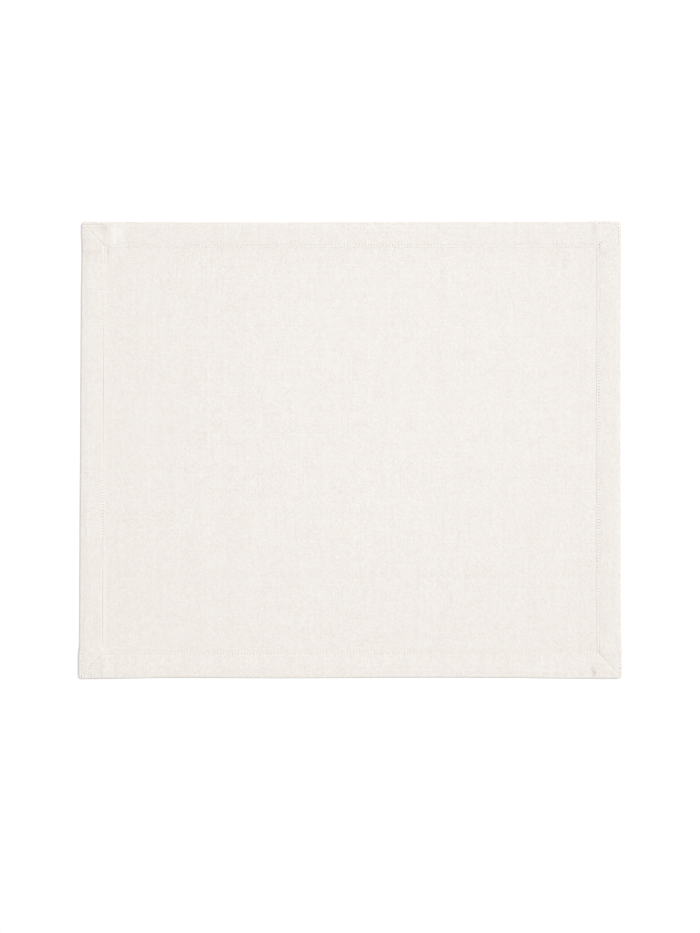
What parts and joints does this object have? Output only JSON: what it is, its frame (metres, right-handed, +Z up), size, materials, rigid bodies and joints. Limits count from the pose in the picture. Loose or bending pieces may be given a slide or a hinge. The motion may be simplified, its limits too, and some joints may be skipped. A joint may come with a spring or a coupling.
{
  "type": "fabric placemat",
  "caption": "Flat rectangular placemat of plain-woven cloth with a stitched, mitred hem, for a place setting.",
  "frame": {"origin": "middle of the flat underside that lies on the table", "axes": "+X along the long side, +Y along the short side away from the person seated, +Z up through the cloth"},
  "size_m": [0.4526, 0.381, 0.0025],
  "materials": {
    "off_white_linen": "matt plain weave of off-white flax and cotton yarn with slubs",
    "cream_thread": "two-ply cream sewing thread with a soft sheen"
  },
  "bodies": {
    "root": {"placemat_cloth": "off_white_linen"}
  },
  "joints": []
}
